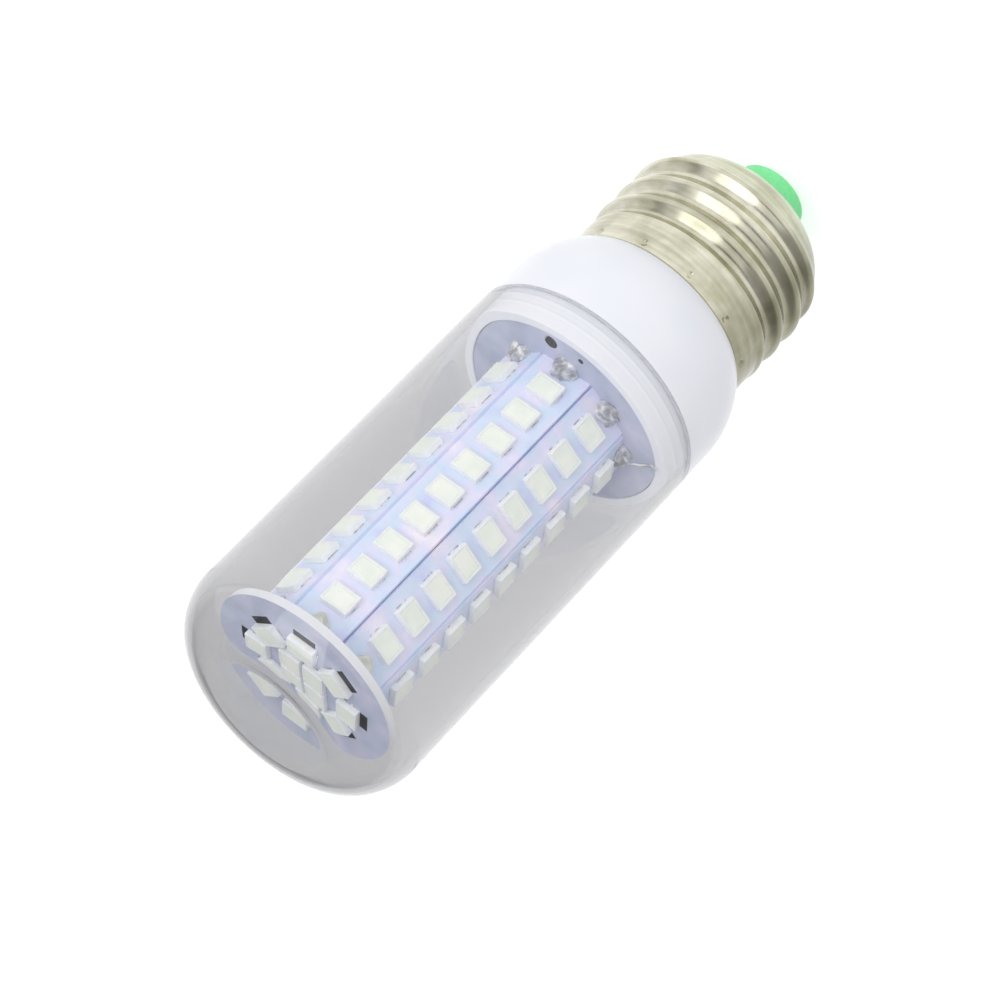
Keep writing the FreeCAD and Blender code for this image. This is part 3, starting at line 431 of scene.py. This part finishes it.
# Solder joints. Tin solder, run by hand into the corner between each strip and the round boards, which it
# joins both ways. Each lump is a little different.
def solder_lump(width, reach, height, seed):
    """A quarter of an ellipsoid in a corner, with lumps. At angle a across and b up, a point is width times
    cos a, reach times sin a cos b and height times sin a sin b, scaled by one plus a sum of sines; the corner
    line closes the ring."""
    dice = np.random.default_rng(seed)
    a = np.linspace(0, np.pi, 25)[None, :]
    b = np.linspace(0, np.pi / 2, 15)[:, None]
    swell = 1 + 0 * (a + b)
    for wave in range(5):
        swell = swell + 0.07 * np.sin(dice.uniform(1, 4) * 2 * a + dice.uniform(1, 5) * 2 * b + dice.uniform(0, 6))
    rim = np.sin(a) * swell
    lump = np.stack([width * np.cos(a) + 0 * b, reach * rim * np.cos(b), height * rim * np.sin(b)], axis=-1)
    corner = np.stack([width * np.cos(a[0]), 0 * a[0], 0 * a[0]], axis=-1)[None]
    return np.concatenate([lump, corner], axis=0)


base_lumps, end_lumps = [], []
for number, turn in enumerate(strip_turns):
    outwards = np.array([math.cos(turn), math.sin(turn), 0])
    across = np.array([-math.sin(turn), math.cos(turn), 0])
    base_lumps.append(placed(solder_lump(1.7, 1.5, 1.7, number), outwards * strip_face + [0, 0, base_top], across,
                             outwards, (0, 0, 1)))
    end_lumps.append(placed(solder_lump(1.6, 1.4, 2.4, number + 20), outwards * strip_face + [0, 0, end_back],
                            across, outwards, (0, 0, -1)))
grid_piece("base_solder", base_lumps, tin_solder, ["base_joints"], sharp=80)
grid_piece("end_solder", end_lumps, flux_solder, ["end_joints"], sharp=80)
dome = np.stack([(np.sin(b) * 0.95, np.cos(b) * 0.95) for b in np.linspace(0, np.pi / 2, 9)])
lead_domes = [lathe(np.vstack([dome, [[0, 0]]]), 24) + [x, 1.0, base_top] for x in (-4.0, 4.0)]
grid_piece("lead_solder", lead_domes, tin_solder, ["lead_joints"])
# A strand of tinned wire lies over the base board, from one joint outwards
strand_radius = 0.2
strand_path = np.array([[1.2, -9.4, 44.0], [1.5, -10.4, 44.5], [1.9, -11.5, 44.1], [2.2, -12.5, 43.5],
                        [2.3, -13.2, 43.6]])
share = np.linspace(0, 4, 25)
strand = np.stack([np.interp(share, np.arange(5), strand_path[:, axis]) for axis in range(3)], axis=-1)
strand[1:-1] = (strand[:-2] + 2 * strand[1:-1] + strand[2:]) / 4
way = np.gradient(strand, axis=0)
side = np.cross(way, [0, 0, 1])
side /= np.linalg.norm(side, axis=1)[:, None]
above = np.cross(side, way)
above /= np.linalg.norm(above, axis=1)[:, None]
turn = np.linspace(0, 2 * np.pi, 10, endpoint=False)[:, None, None]
tube = strand + strand_radius * (np.cos(turn) * side + np.sin(turn) * above)
ends = [np.repeat(strand[k][None, None], 10, axis=0) for k in (0, -1)]
grid_piece("joint_strand", [np.concatenate([ends[0], tube, ends[1]], axis=1)], tin_solder, wrapped=False)


# Driver. The parts under the base board, which the collar hides: each keeps its CAD form and gets the
# colour and finish of the real part.
def driver_finish(name, dark, light, grain_mm, metallic, roughness, nodes):
    """A finish with two tones mixed by a noise of the given grain, put on the driver's CAD nodes."""
    finish, tree = new_material(name)
    tone, grain = mottle(tree, grain_mm, [(0.3, dark), (0.7, light)])
    shade = add_node(tree, "ShaderNodeBsdfPrincipled",
                     {"Base Color": tone, "Metallic": metallic, "Roughness": roughness})
    add_node(tree, "ShaderNodeOutputMaterial", {"Surface": shade.outputs[0]})
    for node in nodes:
        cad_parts[node].data.materials.clear()
        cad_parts[node].data.materials.append(finish)


driver_finish("green_laminate", "#22593A", "#2C6B46", 0.8, 0.0, 0.4, ["driver_board"])
driver_finish("dipped_epoxy", "#8E2B1C", "#A03726", 1.0, 0.0, 0.25, ["film_capacitor"])
driver_finish("sleeved_can", "#23262C", "#2E323A", 2.0, 0.0, 0.3, ["smoothing_capacitor"])
driver_finish("moulded_epoxy", "#131314", "#1E1E20", 0.2, 0.0, 0.55, ["bridge_rectifier"])
driver_finish("coated_ceramic", "#B39A6C", "#C4AC7E", 0.6, 0.0, 0.45, ["bleed_resistor", "fuse_resistor"])
driver_finish("red_insulation", "#A31A17", "#B5221E", 1.5, 0.0, 0.4, ["live_wire"])
driver_finish("black_insulation", "#161618", "#222226", 1.5, 0.0, 0.4, ["neutral_wire"])
driver_finish("tinned_copper", "#BFBFC2", "#D2D2D6", 0.3, 1.0, 0.25, ["positive_lead", "negative_lead"])

# Clear cover. One cup of clear polycarbonate, moulded, snapped over the collar's bead. Its wall bends what
# lies behind it, and its polished end mirrors the end board.
def clear_material(name, painted_shade_tint=None):
    """Clear polycarbonate of refractive index 1.58. A ray that enters the plastic isn't tinted; one that
    leaves it takes the given tint, painted shade that greys what is seen through the plastic. Light for
    the boards passes without loss."""
    made, tree = new_material(name)
    tint = linear("#FFFFFF")
    if painted_shade_tint:
        side = add_node(tree, "ShaderNodeNewGeometry")
        tint = add_node(tree, "ShaderNodeMix", {0: side.outputs["Backfacing"], 6: tint, 7: linear(painted_shade_tint)},
                        data_type="RGBA").outputs[2]
    wave = mottle(tree, 11.0, [(0.0, "#000000"), (1.0, "#FFFFFF")], 1.0)[1]
    relief = add_node(tree, "ShaderNodeBump", {"Height": wave, "Strength": 0.04, "Distance": 0.0002})
    shade = add_node(tree, "ShaderNodeBsdfPrincipled",
                     {"Base Color": tint, "Roughness": 0.015, "IOR": 1.58, "Transmission Weight": 1.0,
                      "Normal": relief.outputs[0]})
    clear_way = add_node(tree, "ShaderNodeBsdfTransparent", {"Color": linear("#FFFFFF")})
    path = add_node(tree, "ShaderNodeLightPath")
    passing = add_node(tree, "ShaderNodeMath", {0: path.outputs["Is Shadow Ray"], 1: path.outputs["Is Diffuse Ray"]},
                       operation="MAXIMUM")
    both = add_node(tree, "ShaderNodeMixShader", {0: passing.outputs[0], 1: shade.outputs[0],
                                                  2: clear_way.outputs[0]})
    add_node(tree, "ShaderNodeOutputMaterial", {"Surface": both.outputs[0]})
    return made


# The outer faces grey each ray that leaves through them: painted shade over what is seen through the wall
clear_plastic = clear_material("clear_polycarbonate", "#6C6C6F")
core_side = clear_material("clear_polycarbonate_core_side")
ground_rim, tree = new_material("ground_polycarbonate_rim")
# The rim is trimmed after moulding, so it is matt and pale grey
tone, grain = mottle(tree, 1.1, [(0.3, "#C2C4CA"), (0.7, "#D6D8DE")])
shade = add_node(tree, "ShaderNodeBsdfPrincipled", {"Base Color": tone, "Roughness": 0.5})
add_node(tree, "ShaderNodeOutputMaterial", {"Surface": shade.outputs[0]})
corner_centre, rim_top = np.array([7.9, 87.35]), 39.28
bend = np.radians(np.linspace(0, 90, 31))[:, None]
outer_corner = corner_centre + 7.5 * np.hstack([np.cos(bend), np.sin(bend)])
inner_corner = corner_centre + 6.3 * np.hstack([np.cos(bend), np.sin(bend)])
crown = np.array([[r, 0.15 * (1 - (r / 7.9) ** 2)] for r in np.linspace(7.9, 0, 12)])
cover_profile = rounded(
    [(14.3, 39.0, 0.08), (15.5, 39.0, 0.15), (15.5, 39.3, 0)] + plain(outer_corner) + plain(crown[1:] + [0, 94.85]) +
    plain(crown[::-1][:-1] + [0, 93.65]) + plain(inner_corner[::-1]), 0.8)
cup = grid_piece("cover_clear_cup", [lathe(cover_profile, 256)], clear_plastic, ["clear_cover"],
                 sharp=60)
cup.data.materials.append(core_side)
cup.data.materials.append(ground_rim)
for face in cup.data.polygons:
    x, y, z = face.center
    into_hollow = face.normal[0] * x + face.normal[1] * y + face.normal[2] * max(z - corner_centre[1] / 1000, 0) < 0
    face.material_index = 2 if z < rim_top / 1000 else int(into_hollow)

# Floor, light and camera. The lamp stands on its tip on a white floor, under two large soft boxes; the
# camera looks from the side and above, rolled so that the lamp lies across the picture.
floor_white, tree = new_material("white_floor")
path = add_node(tree, "ShaderNodeLightPath")
seen = add_node(tree, "ShaderNodeMath", {0: path.outputs["Is Camera Ray"], 1: path.outputs["Is Glossy Ray"]},
                operation="MAXIMUM")
seen = add_node(tree, "ShaderNodeMath", {0: seen.outputs[0], 1: path.outputs["Is Transmission Ray"]},
                operation="MAXIMUM")
# The lift and the light that falls on the floor come to white together, less the lamp's shadow
floor_lift = 0.6
lift = add_node(tree, "ShaderNodeMath", {0: seen.outputs[0], 1: floor_lift}, operation="MULTIPLY")
glow = add_node(tree, "ShaderNodeEmission", {"Color": linear("#FFFFFF"), "Strength": lift.outputs[0]})
matt = add_node(tree, "ShaderNodeBsdfDiffuse", {"Color": linear("#F2F2F2")})
both = add_node(tree, "ShaderNodeAddShader", {0: glow.outputs[0], 1: matt.outputs[0]})
add_node(tree, "ShaderNodeOutputMaterial", {"Surface": both.outputs[0]})
floor_mesh = bpy.data.meshes.new("studio_floor")
reach = 4.0
floor_mesh.from_pydata([(-reach, -reach, -0.0001), (reach, -reach, -0.0001), (reach, reach, -0.0001),
                        (-reach, reach, -0.0001)], [], [(0, 1, 2, 3)])
floor_mesh.materials.append(floor_white)
floor = bpy.data.objects.new("studio_floor", floor_mesh)
bpy.context.scene.collection.objects.link(floor)

world = bpy.data.worlds.new("studio_room")
bpy.context.scene.world = world
world.use_nodes = True
world.node_tree.nodes.clear()
# A white room, 0.55 bright, with a window to the front and a dark doorway in it, which the metal mirrors.
# Both are ovals: azimuth, elevation, half width and height as tangents of the angle, and the share of the
# light that each takes, or adds where that is negative. The lower wall is the white background: it is seen,
# also in metal and glass, but adds no light
tree = world.node_tree
sky = add_node(tree, "ShaderNodeTexCoord")
left = 0.55
for azimuth, elevation, wide, high, taken in ((-5, 28, 1.1, 0.6, -1.0), (-32, 27, 0.5, 0.11, 0.8)):
    azimuth, elevation = math.radians(azimuth), math.radians(elevation)
    middle = (math.cos(elevation) * math.cos(azimuth), math.cos(elevation) * math.sin(azimuth), math.sin(elevation))
    away = add_node(tree, "ShaderNodeMapping",
                    {"Vector": sky.outputs["Generated"], "Location": middle, "Rotation": (0, -elevation, azimuth),
                     "Scale": (0.5, wide, high)}, vector_type="TEXTURE")
    apart = add_node(tree, "ShaderNodeVectorMath", {0: away.outputs[0]}, operation="LENGTH")
    share = add_node(tree, "ShaderNodeMapRange",
                     {"Value": apart.outputs["Value"], "From Min": 0.8, "From Max": 1.2, "To Min": 1.0 - taken,
                      "To Max": 1.0}, interpolation_type="SMOOTHSTEP")
    left = add_node(tree, "ShaderNodeMath", {0: left, 1: share.outputs[0]}, operation="MULTIPLY").outputs[0]
rise = add_node(tree, "ShaderNodeSeparateXYZ", {0: sky.outputs["Generated"]})
wall = add_node(tree, "ShaderNodeMapRange", {"Value": rise.outputs[2], "From Min": 0.12, "From Max": 0.26,
                                              "To Min": 1.0, "To Max": 0.0})
path = add_node(tree, "ShaderNodeLightPath")
seen = path.outputs["Is Camera Ray"]
for kind in ("Is Glossy Ray", "Is Transmission Ray"):
    seen = add_node(tree, "ShaderNodeMath", {0: seen, 1: path.outputs[kind]},
                    operation="MAXIMUM").outputs[0]
wall = add_node(tree, "ShaderNodeMath", {0: wall.outputs[0], 1: seen}, operation="MULTIPLY")
left = add_node(tree, "ShaderNodeMath", {0: left, 1: wall.outputs[0]}, operation="MAXIMUM").outputs[0]
room = add_node(tree, "ShaderNodeBackground", {"Color": linear("#FDFDFF"), "Strength": left})
add_node(tree, "ShaderNodeOutputWorld", {"Surface": room.outputs[0]})

for name, spot, width, height, radiance in (
        ("key_box", (0.60, 0.08, 0.50), 0.60, 0.60, 1.3),
        ("side_box", (0.10, 0.65, 0.35), 0.50, 0.50, 0.5)):
    light = bpy.data.lights.new(name, "AREA")
    light.shape = "RECTANGLE"
    light.size, light.size_y = width, height
    light.energy = radiance * math.pi * width * height
    lamp = bpy.data.objects.new(name, light)
    away = np.array(spot) - [0, 0, 0.05]
    back = away / np.linalg.norm(away)
    right = np.cross([0, 0, 1], back)
    right /= np.linalg.norm(right)
    lamp.matrix_world = Matrix([[*row, at] for row, at in zip(np.column_stack([right, np.cross(back, right), back]),
                                                              spot)] + [[0, 0, 0, 1]])
    bpy.context.scene.collection.objects.link(lamp)

lens = bpy.data.cameras.new("studio_camera")
lens.sensor_width = 36.0
lens.lens = 126.4
camera = bpy.data.objects.new("studio_camera", lens)
# The directions of the picture's right and up, and the place of the lens in metres
right = np.array([0.060455, -0.785161, -0.616334])
up = np.array([0.542096, 0.544295, -0.640215])
eye = [0.328404, -0.117865, 0.236300]
axes = np.column_stack([right, up, np.cross(right, up)])
camera.matrix_world = Matrix([[*row, at] for row, at in zip(axes, eye)] + [[0, 0, 0, 1]])
bpy.context.scene.collection.objects.link(camera)
bpy.context.scene.camera = camera
bpy.context.scene.view_settings.view_transform = "Standard"
